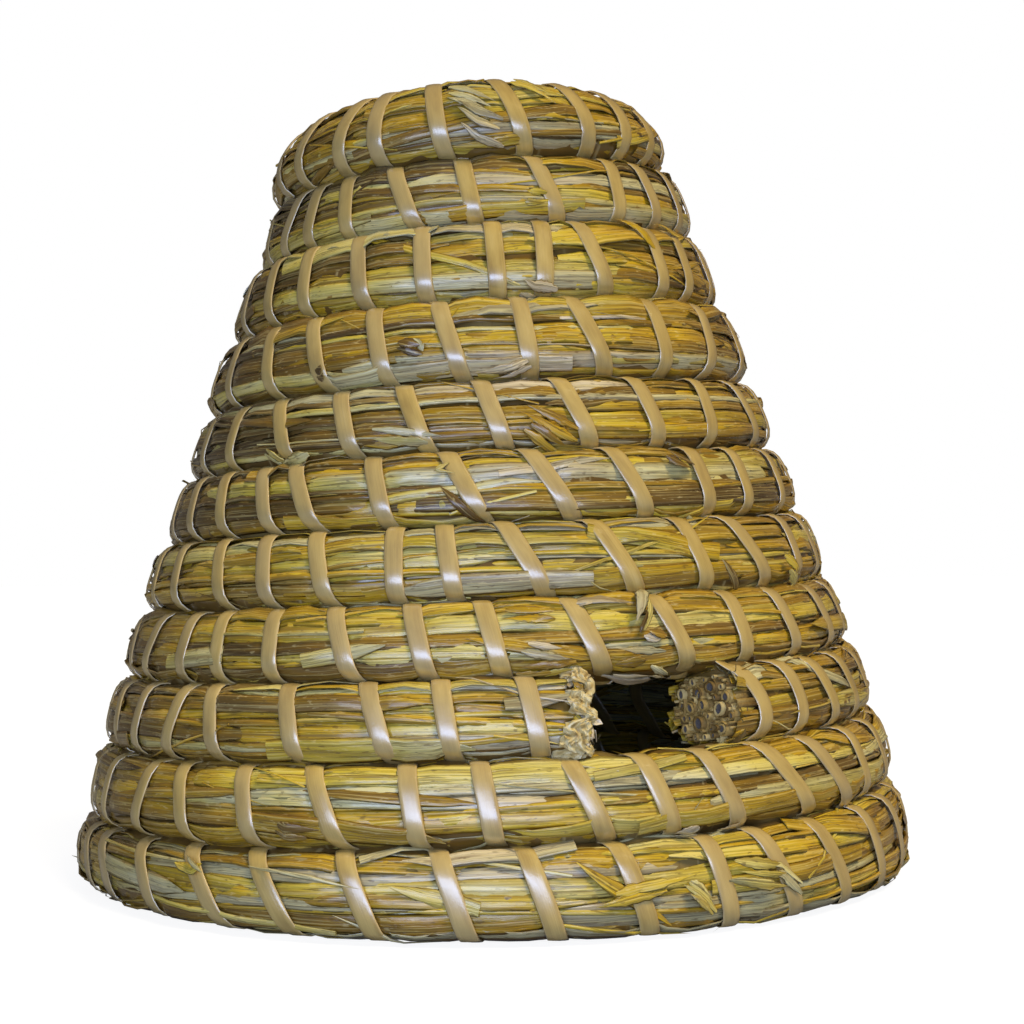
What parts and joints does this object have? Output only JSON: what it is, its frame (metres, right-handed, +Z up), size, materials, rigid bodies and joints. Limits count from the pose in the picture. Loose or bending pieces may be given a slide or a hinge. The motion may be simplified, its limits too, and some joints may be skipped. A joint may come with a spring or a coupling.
{
  "type": "bee skep",
  "caption": "Coiled straw bee hive: tapering courses of thick straw rope bound with split cane, closed at the crown, open at the foot, with an entrance gap low in the wall.",
  "frame": {"origin": "middle of the skep's outline on the ground, at the level of its foot", "axes": "+Z up, -Y towards the side with the entrance, +X to the right as seen from that side"},
  "size_m": [0.3834, 0.3828, 0.3576],
  "materials": {
    "straw": "dry straw, slightly glossy stems",
    "cane": "split cane, satin"
  },
  "bodies": {
    "root": {"crown_coil": "straw", "rope_course_01": "straw", "rope_course_02": "straw", "rope_course_03": "straw", "rope_course_04": "straw", "rope_course_05": "straw", "rope_course_06": "straw", "rope_course_07": "straw", "rope_course_08": "straw", "rope_course_09_right": "straw", "rope_course_09_left": "straw", "rope_course_10": "straw", "rope_course_11": "straw", "rope_tail": "straw", "cane_crown": "cane", "cane_course_01": "cane", "cane_course_02": "cane", "cane_course_03": "cane", "cane_course_04": "cane", "cane_course_05": "cane", "cane_course_06": "cane", "cane_course_07": "cane", "cane_course_08": "cane", "cane_course_09_right": "cane", "cane_course_09_left": "cane", "cane_course_10": "cane", "cane_course_11": "cane", "cane_tail": "cane"}
  },
  "joints": []
}
